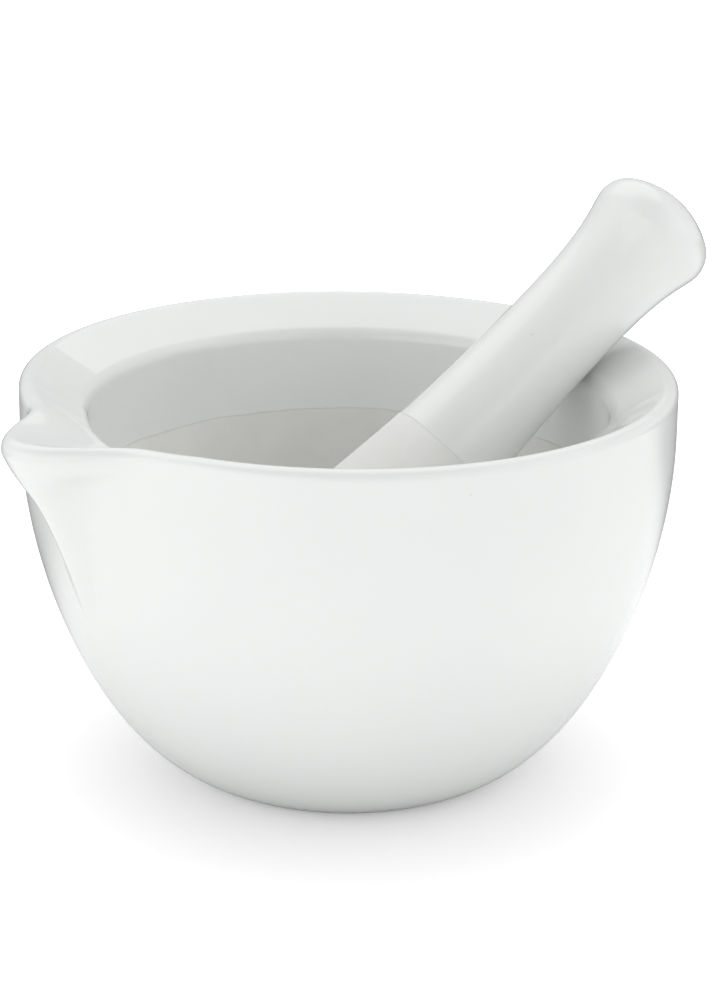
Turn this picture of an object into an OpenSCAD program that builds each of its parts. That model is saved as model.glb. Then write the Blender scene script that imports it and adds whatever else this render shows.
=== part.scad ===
// Mortar and pestle in white glazed porcelain.
// The mortar is one thick casting with a broad rim that falls inwards, a pouring lip and a flat foot.
// The pestle is one casting with a round grinding head, a waisted shaft and a flared, domed end.
//
// Millimetres, +Z up. The origin is the centre of the flat foot, and the pouring lip points along -X.
// The pestle rests in the bowl: its head on the bowl's wall, its shaft on the inner edge of the rim.

/* [Mortar] */
// Outside diameter of the rim, without the lip
rim_d = 130; // [120:1:150]
// Height from the foot to the top of the rim
mortar_h = 81; // [76:1:90]
// Diameter of the bowl's mouth
mouth_d = 103.5; // [96:0.5:108]
// How steeply the top of the rim falls inwards, in degrees
rim_slope = 30; // [20:1:34]
// Diameter of the flat foot
foot_d = 64; // [50:1:76]
// Thickness of the bowl's floor at its centre
floor_t = 13; // [10:1:18]

/* [Outer wall curve] */
// Angle at which the wall leaves the foot, in degrees above level
foot_angle = 23; // [10:1:40]
// How far the curve keeps its direction as it leaves the foot
foot_pull = 21; // [12:1:28]
// How far the curve keeps its direction below the upright top of the wall
wall_pull = 27; // [15:1:34]
// Height of the upright stretch under the rim
upright_h = 11; // [6:1:16]

/* [Rounded edges] */
// Radius on the outer edge of the rim
rim_round = 2; // [1:0.5:3]
// Radius on the inner edge of the rim
mouth_round = 3.5; // [1:0.5:4]
// Radius on the edge of the lip
lip_round = 3; // [2:0.5:4]

/* [Pouring lip] */
// How far the lip stands out from the rim
lip_reach = 13; // [8:1:15]
// Width of the lip where it leaves the rim
lip_w = 40; // [30:1:46]
// Width of the lip's blunt tip
lip_tip_w = 12; // [8:1:14]
// How far the tip of the lip lies below the top of the rim
lip_dip = 1; // [0:0.5:3]
// How far down the wall the underside of the lip runs
lip_fall = 30; // [20:1:32]
// Width of the trough where it crosses the outer edge of the rim
trough_w = 60; // [50:1:66]
// How steeply the trough falls from the tip of the lip into the bowl, in degrees
trough_slope = 13; // [10:1:17]

/* [Pestle] */
// Length of the pestle
pestle_l = 131; // [125:0.5:150]
// Diameter of the grinding head
head_d = 32; // [26:1:34]
// Diameter of the shaft at its waist
waist_d = 20.8; // [18:0.2:23]
// Diameter of the flared end
flare_d = 26.4; // [24:0.2:30]
// Distance of the waist from the flared end's tip
waist_drop = 33; // [28:1:46]
// Distance of the widest part of the flare from the tip
flare_drop = 8.5; // [8:0.5:11]
// Radius of the domed end face
dome_r = 18.5; // [16:0.5:24]

/* [Pestle at rest] */
// Angle of the leaning pestle above level, in degrees
lean_angle = 42; // [40:0.5:45]
// Direction of the lean, in degrees from straight across from the lip
lean_turn = -12; // [-40:0.5:40]
// Gap that keeps the resting pestle just clear of the mortar
rest_gap = 0.3; // [0.2:0.1:0.6]

/* [Hidden] */

porcelain = [0.93, 0.94, 0.93];
curve_steps = 24;
arc_steps = 10;
dome_steps = 28;
head_steps = 36;
settle_rounds = 24;

bowl_facets = 180;
lip_facets = 32;
trough_facets = 240;
pestle_facets = 96;

// How deep the lip's inner ends are buried in the wall
lip_bury = 1;
// How far the trough runs past the mouth and past the tip
trough_overrun = 5;

// How far the pestle's curves keep their direction, as shares of the height that each curve climbs:
// up from the head, below the waist, above the waist and below the flare.
head_pull = 0.32;
below_waist_pull = 0.54;
above_waist_pull = 0.76;
flare_pull = 0.14;

rim_r = rim_d / 2;
mouth_r = mouth_d / 2;
foot_r = foot_d / 2;
head_r = head_d / 2;
waist_r = waist_d / 2;
flare_r = flare_d / 2;

// The top of the rim is the straight line that touches both of its rounded edges.
slope_normal = [-sin(rim_slope), cos(rim_slope)];
rim_centre = [rim_r - rim_round, mortar_h - rim_round];
mouth_x = mouth_r + mouth_round;
mouth_z = (slope_normal * rim_centre + rim_round - mouth_round - slope_normal.x * mouth_x) / slope_normal.y;
mouth_centre = [mouth_x, mouth_z];

// The cavity is half of an upright spheroid, widest at the mouth.
cavity_depth = mouth_z - floor_t;

function bezier(p, t) =
    p[0] * pow(1 - t, 3) + 3 * p[1] * t * pow(1 - t, 2) + 3 * p[2] * t * t * (1 - t) + p[3] * pow(t, 3);

function curve(p, steps) = [for (i = [1:steps]) bezier(p, i / steps)];

function arc(centre, radius, start, end, steps) =
    [for (i = [0:steps]) let (a = start + (end - start) * i / steps) centre + radius * [cos(a), sin(a)]];

// ---- mortar ----

wall_top = mortar_h - upright_h;
wall_curve = [
    [foot_r, 0],
    [foot_r, 0] + foot_pull * [cos(foot_angle), sin(foot_angle)],
    [rim_r, wall_top - wall_pull],
    [rim_r, wall_top],
];

function cavity_arc() =
    [for (i = [1:dome_steps]) let (a = 90 * i / dome_steps)
        [mouth_r * cos(a), mouth_z - cavity_depth * sin(a)]];

bowl_outline = concat(
    [[0, 0], wall_curve[0]],
    curve(wall_curve, curve_steps),
    arc(rim_centre, rim_round, 0, 90 + rim_slope, arc_steps),
    arc(mouth_centre, mouth_round, 90 + rim_slope, 180, arc_steps),
    cavity_arc()
);

module bowl() {
    rotate_extrude($fn = bowl_facets) polygon(bowl_outline);
}

// A place on the wall, at an angle from the lip's centre line.
function around(radius, angle, z) = [-radius * cos(angle), radius * sin(angle), z];

module lip_ball(place) {
    translate(place) sphere(r = lip_round, $fn = lip_facets);
}

// The lip is drawn out of the wall: a blunt tip, two shoulders on the rim and a keel below.
module lip() {
    tip_r = rim_r + lip_reach - lip_round;
    tip_turn = asin((lip_tip_w / 2 - lip_round) / tip_r);
    shoulder_r = rim_r - lip_round - lip_bury;
    shoulder_turn = asin(lip_w / 2 / rim_r);
    top_z = mortar_h - lip_dip - lip_round;
    hull() {
        for (side = [-1, 1]) {
            lip_ball(around(tip_r, side * tip_turn, top_z));
            lip_ball(around(shoulder_r, side * shoulder_turn, top_z));
        }
        lip_ball(around(shoulder_r - lip_bury, 0, mortar_h - lip_fall));
    }
}

// The trough is a shallow round channel that falls from the tip of the lip to the mouth. Its radius is
// the one at which it leaves the rim's outer edge at half its width to each side.
module trough() {
    tip_x = rim_r + lip_reach;
    half_w = trough_w / 2;
    run = tip_x - sqrt(pow(rim_r, 2) - pow(half_w, 2));
    depth = (lip_dip + run * tan(trough_slope)) * cos(trough_slope);
    channel_r = (pow(half_w, 2) + pow(depth, 2)) / (2 * depth);
    channel_l = (tip_x - mouth_r) / cos(trough_slope) + 2 * trough_overrun;
    translate([-tip_x, 0, mortar_h - lip_dip])
        rotate([0, 90 + trough_slope, 0])
            translate([-channel_r, 0, -trough_overrun])
                cylinder(r = channel_r, h = channel_l, $fn = trough_facets);
}

module mortar() {
    color(porcelain)
        difference() {
            union() {
                bowl();
                lip();
            }
            trough();
        }
}

// ---- pestle ----

flare_z = pestle_l - flare_drop;
waist_z = pestle_l - waist_drop;

// The domed face meets the flare in an arc that touches both the dome and the widest ring.
dome_z = pestle_l - dome_r;
edge_round = (pow(dome_r, 2) - pow(flare_r, 2) - pow(flare_z - dome_z, 2)) / (2 * (dome_r - flare_r));
edge_centre = [flare_r - edge_round, flare_z];
dome_angle = atan2(flare_z - dome_z, flare_r - edge_round);

head_to_waist = [
    [head_r, head_r],
    [head_r, head_r + head_pull * (waist_z - head_r)],
    [waist_r, waist_z - below_waist_pull * (waist_z - head_r)],
    [waist_r, waist_z],
];
waist_to_flare = [
    [waist_r, waist_z],
    [waist_r, waist_z + above_waist_pull * (flare_z - waist_z)],
    [flare_r, flare_z - flare_pull * (flare_z - waist_z)],
    [flare_r, flare_z],
];

pestle_outline = concat(
    arc([0, head_r], head_r, -90, 0, dome_steps / 2),
    curve(head_to_waist, curve_steps),
    curve(waist_to_flare, curve_steps / 2),
    arc(edge_centre, edge_round, 0, dome_angle, arc_steps),
    arc([0, dome_z], dome_r, dome_angle, 90, arc_steps)
);

// The shaft rests on the rounded inner edge of the mouth. Its axis passes that edge's centre at the
// shaft's radius there, plus the edge's own radius and the gap.
lean_along = [cos(lean_angle), sin(lean_angle)];
lean_across = [-sin(lean_angle), cos(lean_angle)];

function shaft_r(height) = lookup(height, [for (p = pestle_outline) [p.y, p.x]]);

function beside_edge(radius) = mouth_centre + (radius + mouth_round + rest_gap) * lean_across;

// How far a point lies outside the cavity: below zero, it is inside.
function outside(p) =
    pow(p.x / (mouth_r - rest_gap), 2) + pow((p.y - mouth_z) / (cavity_depth - rest_gap), 2) - 1;

// The same for the round end of the head, when its centre is slid down the leaning axis from a start.
function head_outside(start, slide) =
    max([for (p = arc(start - slide * lean_along, head_r, lean_angle + 90, lean_angle + 270, head_steps))
        outside(p)]);

// The slide at which the head comes to rest on the wall, found by halving.
function settle(start, low, high, rounds) =
    let (middle = (low + high) / 2)
    rounds == 0 ? low
        : head_outside(start, middle) < 0 ? settle(start, middle, high, rounds - 1)
        : settle(start, low, middle, rounds - 1);

// The head comes to rest somewhere between these two slides, given as shares of the mouth's radius.
nearest_rest = 0.8;
farthest_rest = 2.2;

function rest_slide(start) = settle(start, nearest_rest * mouth_r, farthest_rest * mouth_r, settle_rounds);

// The first try takes the waist's radius at the edge, and the second the shaft's true radius there.
first_slide = rest_slide(beside_edge(waist_r));
axis_start = beside_edge(shaft_r(head_r + first_slide));
head_centre = axis_start - rest_slide(axis_start) * lean_along;

module pestle() {
    color(porcelain)
        rotate([0, 0, lean_turn])
            translate([head_centre.x, 0, head_centre.y])
                rotate([0, 90 - lean_angle, 0])
                    translate([0, 0, -head_r])
                        rotate_extrude($fn = pestle_facets) polygon(pestle_outline);
}

mortar();
pestle();
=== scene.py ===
"""A porcelain mortar and pestle: glazed meshes, materials and a plain studio, round the CAD frame."""

import math

import bpy
from mathutils import Matrix, Vector


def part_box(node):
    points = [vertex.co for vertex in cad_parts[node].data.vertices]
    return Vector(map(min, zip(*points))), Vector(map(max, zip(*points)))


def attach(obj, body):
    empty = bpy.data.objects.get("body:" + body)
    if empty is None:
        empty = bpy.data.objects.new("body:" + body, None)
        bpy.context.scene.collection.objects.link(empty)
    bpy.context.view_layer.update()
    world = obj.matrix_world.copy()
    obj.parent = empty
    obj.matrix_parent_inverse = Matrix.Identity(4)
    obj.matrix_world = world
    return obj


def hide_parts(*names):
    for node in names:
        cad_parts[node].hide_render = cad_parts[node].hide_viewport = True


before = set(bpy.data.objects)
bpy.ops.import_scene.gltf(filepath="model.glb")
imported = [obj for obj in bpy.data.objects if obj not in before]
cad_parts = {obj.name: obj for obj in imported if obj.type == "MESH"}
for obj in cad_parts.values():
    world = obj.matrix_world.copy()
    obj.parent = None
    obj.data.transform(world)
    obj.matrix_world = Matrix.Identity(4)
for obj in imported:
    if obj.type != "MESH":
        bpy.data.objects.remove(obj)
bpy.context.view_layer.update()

MM = 0.001

# ---- Sizes. The frame gives the outer sizes and the places, and the rest are the casting's own. ----

mortar_low, mortar_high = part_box("mortar")
pestle_low, pestle_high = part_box("pestle")

RIM_R = mortar_high.y
MORTAR_H = mortar_high.z
LIP_REACH = -mortar_low.x - RIM_R
MOUTH_R = 51.75 * MM
RIM_SLOPE = math.radians(30)
FOOT_R = 32 * MM
FLOOR_T = 13 * MM

FOOT_ANGLE = math.radians(23)
FOOT_PULL = 21 * MM
WALL_PULL = 27 * MM
UPRIGHT_H = 11 * MM

RIM_ROUND = 2 * MM
MOUTH_ROUND = 3.5 * MM
LIP_ROUND = 2.4 * MM

LIP_HALF_TURN = math.radians(19.5)
LIP_POINT = 3.1
LIP_DROP = 1 * MM
LIP_FALL = 45.8 * MM
KEEL_POINT = 13.8
SHOULDER_SHARE = 0.35
JOIN_PULL = 0.89
UNDER_PULL = 0.29
UNDER_ANGLE = math.radians(26.3)
TROUGH_HALF_TURN = math.radians(27.7)
TROUGH_DEPTH = 2 * MM
TROUGH_CREASE = 0.02
# How closely the mesh's turns gather at the lip, where the shape changes quickly: 0 is evenly spaced.
LIP_GATHER = 0.72

PESTLE_L = 131 * MM
HEAD_R = 16 * MM
WAIST_R = 10.4 * MM
FLARE_R = 13.2 * MM
WAIST_DROP = 33 * MM
FLARE_DROP = 8.5 * MM
DOME_R = 18.5 * MM
HEAD_PULL = 0.32
BELOW_WAIST_PULL = 0.54
ABOVE_WAIST_PULL = 0.76
FLARE_PULL = 0.14
LEAN_ANGLE = math.radians(42)
LEAN_TURN = math.radians(-12)

# Steps along each stretch of the outlines, and turns round each piece.
FOOT_STEPS = 6
WALL_STEPS = 44
UNDERSIDE_STEPS = 40
EDGE_STEPS = 16
RIM_STEPS = 8
MOUTH_STEPS = 14
CAVITY_STEPS = 64
HEAD_STEPS = 24
SHAFT_STEPS = 40
FLARE_STEPS = 20
FLARE_EDGE_STEPS = 12
DOME_STEPS = 16
MORTAR_TURNS = 420
PESTLE_TURNS = 160
FLOOR_TURNS = 96
# The share of the mortar's outline at which the mouth's edge begins. Past it, a point is in the bowl.
OUTSIDE_SHARE = 0.6

GLAZE_LINE_H = 58.2 * MM
PESTLE_GLAZE_LINE = 60 * MM
GLAZE_WOBBLE = 0.5 * MM
GLAZE_FADE = 0.3 * MM
GLAZE_T = 0.1 * MM
GLAZE_WAVE = 0.05 * MM
GLAZE_RIPPLE = 0.002 * MM
CLAY_GRAIN = 0.02 * MM
SPECK_SPACING = 9 * MM
SPECK_R = 0.35 * MM
SPECK_SHARE = 0.2

# The size of the lumps in which each part of the finish varies.
WOBBLE_LUMP = 30 * MM
GLAZE_TINT_LUMP = 60 * MM
CLAY_TINT_LUMP = 9 * MM
GLAZE_ROUGHNESS_LUMP = 5 * MM
CLAY_ROUGHNESS_LUMP = 2 * MM
COAT_ROUGHNESS_LUMP = 20 * MM
WAVE_LUMP = 26 * MM
RIPPLE_LUMP = 3 * MM
CLAY_LUMP = 0.7 * MM
GLAZE_ROUGHNESS = (0.35, 0.5)
CLAY_ROUGHNESS = (0.6, 0.8)
COAT_ROUGHNESS = (0.02, 0.06)
# The ranges of the noise that are carried over: the narrower the range, the stronger the contrast.
STRONG_CONTRAST = (0.3, 0.7)
SOFT_CONTRAST = (0.2, 0.8)
WOBBLE_CONTRAST = (0.25, 0.75)

GLAZE_TINTS = ((0.805, 0.825, 0.81, 1), (0.83, 0.845, 0.833, 1))
CLAY_TINTS = ((0.8, 0.803, 0.78, 1), (0.83, 0.832, 0.812, 1))
SPECK_TINT = (0.42, 0.41, 0.36, 1)

FLOOR_R = 5
FLOOR_FADE = (0.1, 0.7)
FLOOR_OVEREXPOSURE = 0.25
FLOOR_GLOW = 0.28
GLOW_FADE = (0.04, 0.11)
# Painted shade on the floor behind the bowl, seen by the pieces but not by the camera: where it fades in,
# its tint and its side.
PAINTED_SHADE_FADE = (0.03, 0.12)
PAINTED_SHADE_TINT = (0.3, 0.3, 0.3, 1)
PAINTED_SHADE_SIDE = math.radians(-165)
FLOOR_TINT = (0.85, 0.85, 0.85, 1)
FLOOR_ROUGHNESS = 0.9
ROOM_RADIANCE = 1.01
SOFTBOX_DISTANCE = 1.2
VIEW_TURN = math.radians(-37)
VIEW_DOWN = math.radians(18.48)
VIEW_TILT = math.radians(0.65)
VIEW_DISTANCE = 9 * RIM_R
VIEW_ASIDE = 0.027 * RIM_R
VIEW_HEIGHT = 0.8456 * RIM_R
LENS_MM = 105.8


# ---- Curves in the plane of a profile: x is the radius, y is the height. ----

def bezier(points, t):
    """The point at share t along a cubic curve."""
    a, b, c, d = points
    return a * (1 - t) ** 3 + 3 * b * t * (1 - t) ** 2 + 3 * c * t * t * (1 - t) + d * t ** 3


def curve(points, steps, start=0.0, end=1.0):
    """Points along a cubic curve after its start, from share start to share end."""
    return [bezier(points, start + (end - start) * i / steps) for i in range(1, steps + 1)]


def arc(centre, radius, start, end, steps):
    """Points along an arc, with its first point."""
    angles = [start + (end - start) * i / steps for i in range(steps + 1)]
    return [centre + radius * Vector((math.cos(a), math.sin(a))) for a in angles]


def line(start, end, steps):
    """Points between the ends of a straight stretch, without the ends."""
    return [start.lerp(end, i / steps) for i in range(1, steps)]


def hump(x, power=2.0):
    """One at the middle, falling smoothly to nothing at -1 and 1. A greater power makes it more pointed."""
    return (1 - x * x) ** power if abs(x) < 1 else 0.0


def crest(x, edge):
    """A parabola that is one at the middle and meets level ground at -1 and 1 in a tight rounded crease."""
    height = 1 - x * x
    return (height + math.sqrt(height * height + edge * edge)) / 2


# ---- Mortar. Its profile changes with the turn, the angle from the middle of the pouring lip. ----

def mouth_edge_centre():
    """The centre of the rounding on the rim's inner edge, on the line that falls inwards from the rim."""
    normal = Vector((-math.sin(RIM_SLOPE), math.cos(RIM_SLOPE)))
    rim_centre = Vector((RIM_R - RIM_ROUND, MORTAR_H - RIM_ROUND))
    x = MOUTH_R + MOUTH_ROUND
    y = (normal.dot(rim_centre) + RIM_ROUND - MOUTH_ROUND - normal.x * x) / normal.y
    return Vector((x, y))


MOUTH_CENTRE = mouth_edge_centre()
CAVITY_DEPTH = MOUTH_CENTRE.y - FLOOR_T
WALL_TOP = MORTAR_H - UPRIGHT_H
WALL_CURVE = (
    Vector((FOOT_R, 0)),
    Vector((FOOT_R, 0)) + FOOT_PULL * Vector((math.cos(FOOT_ANGLE), math.sin(FOOT_ANGLE))),
    Vector((RIM_R, WALL_TOP - WALL_PULL)),
    Vector((RIM_R, WALL_TOP)),
)


def cavity_point(angle):
    """A point on the half spheroid of the cavity, from its mouth at 0 to its floor at a right angle."""
    return Vector((MOUTH_R * math.cos(angle), MOUTH_CENTRE.y - CAVITY_DEPTH * math.sin(angle)))


def wall_share(height):
    """How far along the wall's curve a height is, found by halving."""
    low, high = 0.0, 1.0
    for _ in range(30):
        middle = (low + high) / 2
        if bezier(WALL_CURVE, middle).y < height:
            low = middle
        else:
            high = middle
    return (low + high) / 2


def mortar_profile(turn):
    """The outline from the middle of the foot, up the wall and over the rim to the middle of the floor."""
    lip = hump(turn / LIP_HALF_TURN, LIP_POINT)
    trough = crest(turn / TROUGH_HALF_TURN, TROUGH_CREASE)
    edge_round = RIM_ROUND + (LIP_ROUND - RIM_ROUND) * trough
    edge = Vector((RIM_R + LIP_REACH * lip - edge_round, MORTAR_H - LIP_DROP * trough - edge_round))
    inner_angle = math.asin(TROUGH_DEPTH * trough / CAVITY_DEPTH)
    inner = cavity_point(inner_angle) + Vector((MOUTH_ROUND, 0))

    span = edge - inner
    slope = math.atan2(span.y, span.x) - math.asin((MOUTH_ROUND - edge_round) / span.length)
    under = UNDER_ANGLE * lip

    shoulder = hump(turn / LIP_HALF_TURN)
    keel = hump(turn / LIP_HALF_TURN, KEEL_POINT)
    drop = SHOULDER_SHARE * shoulder + (1 - SHOULDER_SHARE) * keel
    join_height = WALL_TOP - (LIP_FALL - UPRIGHT_H) * drop
    join_share = wall_share(join_height)
    join = bezier(WALL_CURVE, join_share)
    ahead = (join - bezier(WALL_CURVE, join_share - 0.001)).normalized()
    start = edge + edge_round * Vector((math.cos(under), -math.sin(under)))
    reach = (start - join).length
    underside = (
        join,
        join + ahead * reach * JOIN_PULL,
        start - Vector((math.sin(under), math.cos(under))) * reach * UNDER_PULL,
        start,
    )

    rim = arc(edge, edge_round, -under, math.pi / 2 + slope, EDGE_STEPS)
    mouth = arc(inner, MOUTH_ROUND, math.pi / 2 + slope, math.pi, MOUTH_STEPS)
    cavity = [
        cavity_point(inner_angle + (math.pi / 2 - inner_angle) * i / CAVITY_STEPS)
        for i in range(1, CAVITY_STEPS + 1)
    ]
    return (
        [Vector((0, 0))]
        + line(Vector((0, 0)), WALL_CURVE[0], FOOT_STEPS)
        + [WALL_CURVE[0]]
        + curve(WALL_CURVE, WALL_STEPS, 0, join_share)
        + curve(underside, UNDERSIDE_STEPS)[:-1]
        + rim
        + line(rim[-1], mouth[0], RIM_STEPS)
        + mouth
        + cavity
    )


def pestle_profile():
    """The outline from the tip of the grinding head to the middle of the domed end."""
    flare_h = PESTLE_L - FLARE_DROP
    waist_h = PESTLE_L - WAIST_DROP
    dome_h = PESTLE_L - DOME_R
    rise = flare_h - dome_h
    edge_round = (DOME_R ** 2 - FLARE_R ** 2 - rise ** 2) / (2 * (DOME_R - FLARE_R))
    dome_angle = math.atan2(rise, FLARE_R - edge_round)
    lower = waist_h - HEAD_R
    upper = flare_h - waist_h
    head_to_waist = (
        Vector((HEAD_R, HEAD_R)),
        Vector((HEAD_R, HEAD_R + HEAD_PULL * lower)),
        Vector((WAIST_R, waist_h - BELOW_WAIST_PULL * lower)),
        Vector((WAIST_R, waist_h)),
    )
    waist_to_flare = (
        Vector((WAIST_R, waist_h)),
        Vector((WAIST_R, waist_h + ABOVE_WAIST_PULL * upper)),
        Vector((FLARE_R, flare_h - FLARE_PULL * upper)),
        Vector((FLARE_R, flare_h)),
    )
    return (
        arc(Vector((0, HEAD_R)), HEAD_R, -math.pi / 2, 0, HEAD_STEPS)
        + curve(head_to_waist, SHAFT_STEPS)
        + curve(waist_to_flare, FLARE_STEPS)
        + arc(Vector((FLARE_R - edge_round, flare_h)), edge_round, 0, dome_angle, FLARE_EDGE_STEPS)[1:]
        + arc(Vector((0, dome_h)), DOME_R, dome_angle, math.pi / 2, DOME_STEPS)[1:]
    )


# ---- Meshes ----

def swept(name, turns, profile_at, bare_at):
    """A closed mesh swept once round Z. bare_at says how far past the edge of the glaze a point lies."""
    outlines = [profile_at(turn) for turn in turns]
    count = len(outlines[0]) - 2
    around = len(turns)
    first, last = outlines[0][0], outlines[0][-1]
    vertices = [(0, 0, first.y), (0, 0, last.y)]
    bare = [bare_at(0, first), bare_at(1, last)]
    for turn, outline in zip(turns, outlines):
        for i, point in enumerate(outline[1:-1]):
            vertices.append((-point.x * math.cos(turn), -point.x * math.sin(turn), point.y))
            bare.append(bare_at((i + 1) / (count + 1), point))

    faces = []
    for k in range(around):
        here = 2 + k * count
        there = 2 + (k + 1) % around * count
        faces.append((0, there, here))
        faces += [(here + i, there + i, there + i + 1, here + i + 1) for i in range(count - 1)]
        faces.append((1, here + count - 1, there + count - 1))

    mesh = bpy.data.meshes.new(name)
    mesh.from_pydata(vertices, [], faces)
    mesh.attributes.new("bare", "FLOAT", "POINT").data.foreach_set("value", bare)
    mesh.polygons.foreach_set("use_smooth", [True] * len(mesh.polygons))
    mesh.update()
    piece = bpy.data.objects.new(name, mesh)
    bpy.context.scene.collection.objects.link(piece)
    return piece


def even_turns(count):
    return [2 * math.pi * k / count for k in range(count)]


def lip_turns(count):
    """Turns round the whole mortar, gathered closely at the lip."""
    return [turn - math.pi - LIP_GATHER * math.sin(turn - math.pi) for turn in even_turns(count)]


def mortar_bare(share, point):
    """Bare clay is at the bottom of the bowl and on the foot."""
    if share > OUTSIDE_SHARE:
        return GLAZE_LINE_H - point.y
    return FOOT_R - point.x if point.y < FOOT_R else -FOOT_R


def pestle_bare(share, point):
    return PESTLE_GLAZE_LINE - point.y


mortar = swept("mortar_casting", lip_turns(MORTAR_TURNS), mortar_profile, mortar_bare)
pestle_outline = pestle_profile()
pestle = swept("pestle_casting", even_turns(PESTLE_TURNS), lambda turn: pestle_outline, pestle_bare)

# The head is a ball at the low end, so three sides of the pestle's box touch it.
head_centre = Vector((pestle_low.x + HEAD_R, pestle_high.y - HEAD_R, pestle_low.z + HEAD_R))
lean = Matrix.Rotation(LEAN_TURN, 4, "Z") @ Matrix.Rotation(math.pi / 2 - LEAN_ANGLE, 4, "Y")
pestle.data.transform(Matrix.Translation(head_centre) @ lean @ Matrix.Translation((0, 0, -HEAD_R)))


# ---- Materials ----

def add(tree, kind, inputs=None, **settings):
    """A shader node. Each of its inputs is given a value, or the output of another node."""
    node = tree.nodes.new(kind)
    for name, value in settings.items():
        setattr(node, name, value)
    for name, value in (inputs or {}).items():
        if isinstance(value, bpy.types.NodeSocket):
            tree.links.new(value, node.inputs[name])
        else:
            node.inputs[name].default_value = value
    return node


def noise(tree, grain, detail=2.0):
    """Soft random values from 0 to 1 through the piece, in lumps about as large as the grain."""
    place = add(tree, "ShaderNodeTexCoord").outputs["Object"]
    inputs = {"Vector": place, "Scale": 1 / grain, "Detail": detail}
    return add(tree, "ShaderNodeTexNoise", inputs).outputs["Fac"]


def spread(tree, value, low, high, to_low, to_high):
    """The value carried smoothly from one range over to another."""
    inputs = {"Value": value, "From Min": low, "From Max": high, "To Min": to_low, "To Max": to_high}
    return add(tree, "ShaderNodeMapRange", inputs, interpolation_type="SMOOTHSTEP").outputs["Result"]


def sum_of(tree, *values):
    total = values[0]
    for value in values[1:]:
        total = add(tree, "ShaderNodeMath", {0: total, 1: value}, operation="ADD").outputs[0]
    return total


def product(tree, first, second):
    return add(tree, "ShaderNodeMath", {0: first, 1: second}, operation="MULTIPLY").outputs[0]


def blend_of(tree, share, first, second):
    """A colour that goes from the first to the second as the share goes from 0 to 1."""
    node = add(tree, "ShaderNodeMix", data_type="RGBA")
    sockets = {socket.identifier: socket for socket in node.inputs}
    for name, value in (("Factor_Float", share), ("A_Color", first), ("B_Color", second)):
        if isinstance(value, bpy.types.NodeSocket):
            tree.links.new(value, sockets[name])
        else:
            sockets[name].default_value = value
    return next(socket for socket in node.outputs if socket.identifier == "Result_Color")


def specks(tree):
    """Sparse pinhead specks of iron in the clay: up to 1 at the middle of a speck, and 0 outside it."""
    place = add(tree, "ShaderNodeTexCoord").outputs["Object"]
    cells = add(tree, "ShaderNodeTexVoronoi", {"Vector": place, "Scale": 1 / SPECK_SPACING})
    near = spread(tree, cells.outputs["Distance"], 0.0, SPECK_R / SPECK_SPACING, 1.0, 0.0)
    chance = add(tree, "ShaderNodeSeparateColor", {"Color": cells.outputs["Color"]}).outputs["Red"]
    return product(tree, near, spread(tree, chance, 1 - SPECK_SHARE, 1.0, 0.0, 1.0))


def porcelain(name):
    """White porcelain under a clear glaze, with bare clay where the mesh's bare attribute is above zero."""
    material = bpy.data.materials.new(name)
    material.use_nodes = True
    tree = material.node_tree

    past_edge = add(tree, "ShaderNodeAttribute", attribute_name="bare").outputs["Fac"]
    wobble = spread(tree, noise(tree, WOBBLE_LUMP), *WOBBLE_CONTRAST, -GLAZE_WOBBLE, GLAZE_WOBBLE)
    clay = spread(tree, sum_of(tree, past_edge, wobble), -GLAZE_FADE, GLAZE_FADE, 0.0, 1.0)
    glaze = spread(tree, clay, 0.0, 1.0, 1.0, 0.0)

    glaze_share = spread(tree, noise(tree, GLAZE_TINT_LUMP), *STRONG_CONTRAST, 0.0, 1.0)
    glazed_tint = blend_of(tree, glaze_share, *GLAZE_TINTS)
    clay_share = spread(tree, noise(tree, CLAY_TINT_LUMP, 6.0), *STRONG_CONTRAST, 0.0, 1.0)
    clay_tint = blend_of(tree, clay_share, *CLAY_TINTS)
    tint = blend_of(tree, clay, glazed_tint, clay_tint)
    tint = blend_of(tree, specks(tree), tint, SPECK_TINT)

    glaze_roughness = spread(tree, noise(tree, GLAZE_ROUGHNESS_LUMP), *SOFT_CONTRAST, *GLAZE_ROUGHNESS)
    clay_roughness = spread(tree, noise(tree, CLAY_ROUGHNESS_LUMP), *SOFT_CONTRAST, *CLAY_ROUGHNESS)
    roughness = sum_of(tree, product(tree, glaze, glaze_roughness), product(tree, clay, clay_roughness))
    coat_roughness = spread(tree, noise(tree, COAT_ROUGHNESS_LUMP), *SOFT_CONTRAST, *COAT_ROUGHNESS)

    waves = product(tree, noise(tree, WAVE_LUMP, 0.0), GLAZE_WAVE)
    ripple = product(tree, noise(tree, RIPPLE_LUMP, 1.0), GLAZE_RIPPLE)
    glazed_height = product(tree, glaze, sum_of(tree, waves, ripple, GLAZE_T))
    clay_height = product(tree, clay, product(tree, noise(tree, CLAY_LUMP, 3.0), CLAY_GRAIN))
    bumps = {"Height": sum_of(tree, glazed_height, clay_height), "Distance": 1.0, "Strength": 1.0}
    normal = add(tree, "ShaderNodeBump", bumps).outputs["Normal"]

    shader = tree.nodes["Principled BSDF"]
    for socket, value in (
        ("Base Color", tint),
        ("Roughness", roughness),
        ("Coat Weight", glaze),
        ("Coat Roughness", coat_roughness),
        ("Normal", normal),
        ("Coat Normal", normal),
    ):
        tree.links.new(value, shader.inputs[socket])
    return material


mortar.data.materials.append(porcelain("mortar_porcelain_glaze"))
pestle.data.materials.append(porcelain("pestle_porcelain_glaze"))

for piece, body in ((mortar, "mortar"), (pestle, "pestle")):
    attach(piece, body)
    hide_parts(body)


# ---- Studio ----

def outward(turn, rise):
    """The direction at a turn from the camera's side of the bowl and a rise above the floor."""
    turn += VIEW_TURN
    return Vector((math.sin(turn) * math.cos(rise), -math.cos(turn) * math.cos(rise), math.sin(rise)))


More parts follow.
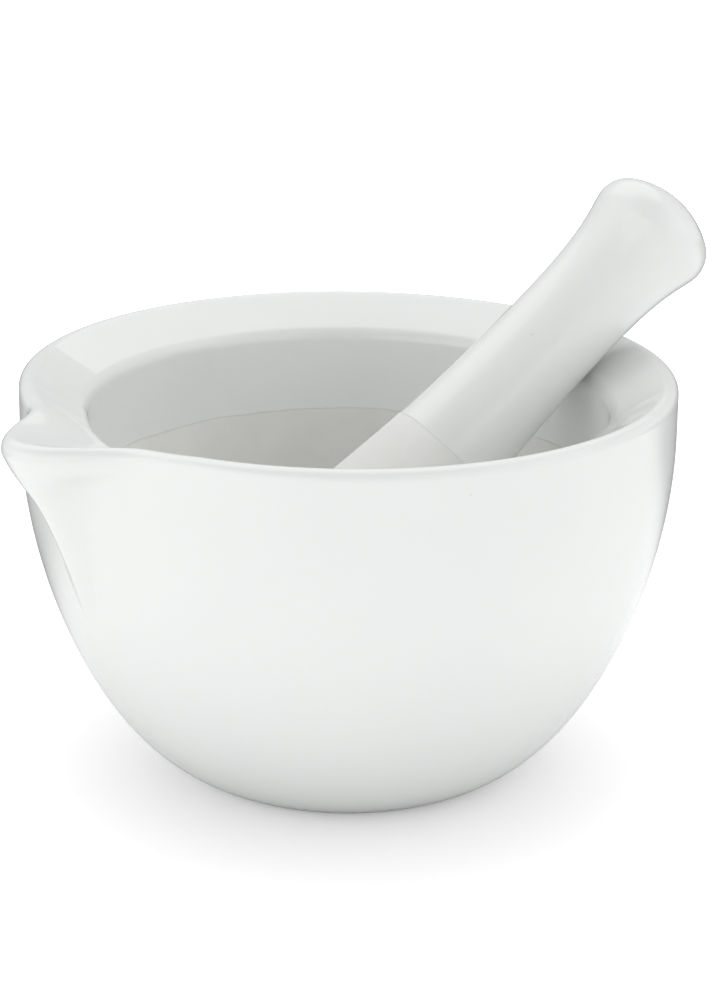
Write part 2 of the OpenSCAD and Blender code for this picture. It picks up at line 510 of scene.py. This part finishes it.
def floor():
    """A wide white sheet. The camera sees it overexposed, so that it runs on into the white backdrop.

    Behind the bowl the pieces see it darker, though the camera does not: painted shade for a dimmer floor
    there.
    The glaze mirrors that painted shade along the outlines, which sets them off from the white.
    """
    rim = [FLOOR_R * Vector((math.cos(turn), math.sin(turn), 0)) for turn in even_turns(FLOOR_TURNS)]
    mesh = bpy.data.meshes.new("studio_floor")
    mesh.from_pydata(rim, [], [range(len(rim))])
    sheet = bpy.data.objects.new("studio_floor", mesh)
    bpy.context.scene.collection.objects.link(sheet)

    material = bpy.data.materials.new("studio_floor")
    material.use_nodes = True
    tree = material.node_tree
    place = add(tree, "ShaderNodeTexCoord").outputs["Object"]
    seen = add(tree, "ShaderNodeLightPath").outputs["Is Camera Ray"]

    # Painted shade: behind the bowl the floor is darker for every ray but the camera's, and the glaze
    # mirrors it as dark outlines.
    inputs = {0: place, 1: outward(PAINTED_SHADE_SIDE, 0)}
    behind = add(tree, "ShaderNodeVectorMath", inputs, operation="DOT_PRODUCT").outputs["Value"]
    unseen = spread(tree, seen, 0.0, 1.0, 1.0, 0.0)
    painted_shade = product(tree, spread(tree, behind, *PAINTED_SHADE_FADE, 0.0, 1.0), unseen)
    tint = blend_of(tree, painted_shade, FLOOR_TINT, PAINTED_SHADE_TINT)

    distance = add(tree, "ShaderNodeVectorMath", {0: place}, operation="LENGTH").outputs["Value"]
    overexposure = product(tree, seen, spread(tree, distance, *FLOOR_FADE, FLOOR_OVEREXPOSURE, 1.0))
    # The floor's glow stays off under the painted shade.
    outside_painted_shade = spread(tree, painted_shade, 0.0, 1.0, 1.0, 0.0)
    glow = product(tree, outside_painted_shade, spread(tree, distance, *GLOW_FADE, 0.0, FLOOR_GLOW))
    glow = sum_of(tree, overexposure, glow)

    shader = tree.nodes["Principled BSDF"]
    shader.inputs["Roughness"].default_value = FLOOR_ROUGHNESS
    shader.inputs["Specular IOR Level"].default_value = 0.0
    shader.inputs["Emission Color"].default_value = (1, 1, 1, 1)
    tree.links.new(tint, shader.inputs["Base Color"])
    tree.links.new(glow, shader.inputs["Emission Strength"])
    mesh.materials.append(material)


def softbox(name, direction, width, height, radiance):
    """A soft panel that faces the bowl."""
    light = bpy.data.lights.new(name, "AREA")
    light.shape = "RECTANGLE"
    light.size = width
    light.size_y = height
    light.energy = radiance * math.pi * width * height
    panel = bpy.data.objects.new(name, light)
    panel.location = SOFTBOX_DISTANCE * direction
    panel.rotation_euler = direction.to_track_quat("Z", "Y").to_euler()
    panel.visible_camera = False
    bpy.context.scene.collection.objects.link(panel)


# Each softbox: its name, its turn and rise in degrees, its width and height in metres, and its radiance.
SOFTBOXES = (
    ("left_softbox", -51, 20, 1.9, 0.9, 0.62),
    ("right_softbox", 60, 38, 1.5, 1.0, 0.44),
    ("back_softbox", -170, 60, 1.5, 1.3, 0.58),
)

# Each dimmer part of the room: its middle, the dot product at which it ends, and how much it dims.
ROOM_DIM_PARTS = (
    (outward(0, math.radians(55)), 0.5, 0.7),
    (outward(math.radians(-175), math.radians(5)), 0.2, 0.35),
)


def room():
    """A pale room, dimmer high behind the camera and low behind the bowl. The camera sees it plain white."""
    world = bpy.data.worlds.new("studio_room")
    world.use_nodes = True
    tree = world.node_tree
    direction = add(tree, "ShaderNodeTexCoord").outputs["Generated"]
    radiance = ROOM_RADIANCE
    for middle, edge, dimming in ROOM_DIM_PARTS:
        inputs = {0: direction, 1: middle}
        toward = add(tree, "ShaderNodeVectorMath", inputs, operation="DOT_PRODUCT").outputs["Value"]
        radiance = sum_of(tree, radiance, spread(tree, toward, edge, 1.0, 0.0, -dimming))
    seen = add(tree, "ShaderNodeLightPath").outputs["Is Camera Ray"]
    unseen = spread(tree, seen, 0.0, 1.0, 1.0, 0.0)
    strength = sum_of(tree, product(tree, unseen, radiance), seen)
    tree.nodes["Background"].inputs["Color"].default_value = (1, 1, 1, 1)
    tree.links.new(strength, tree.nodes["Background"].inputs["Strength"])
    bpy.context.scene.world = world


def camera():
    """The viewing angle of the photograph: the lip points 37 degrees towards the camera from the left."""
    right = Vector((math.cos(VIEW_TURN), math.sin(VIEW_TURN), 0))
    back = outward(0, VIEW_DOWN)
    up = back.cross(right)
    target = VIEW_ASIDE * right + Vector((0, 0, VIEW_HEIGHT))
    data = bpy.data.cameras.new("camera")
    data.lens = LENS_MM
    eye = bpy.data.objects.new("camera", data)
    axes = Matrix((
        right * math.cos(VIEW_TILT) + up * math.sin(VIEW_TILT),
        up * math.cos(VIEW_TILT) - right * math.sin(VIEW_TILT),
        back,
    )).transposed()
    eye.matrix_world = Matrix.Translation(target + back * VIEW_DISTANCE) @ axes.to_4x4()
    bpy.context.scene.collection.objects.link(eye)
    bpy.context.scene.camera = eye


floor()
room()
for name, turn, rise, width, height, radiance in SOFTBOXES:
    softbox(name, outward(math.radians(turn), math.radians(rise)), width, height, radiance)
camera()
bpy.context.scene.view_settings.view_transform = "Standard"
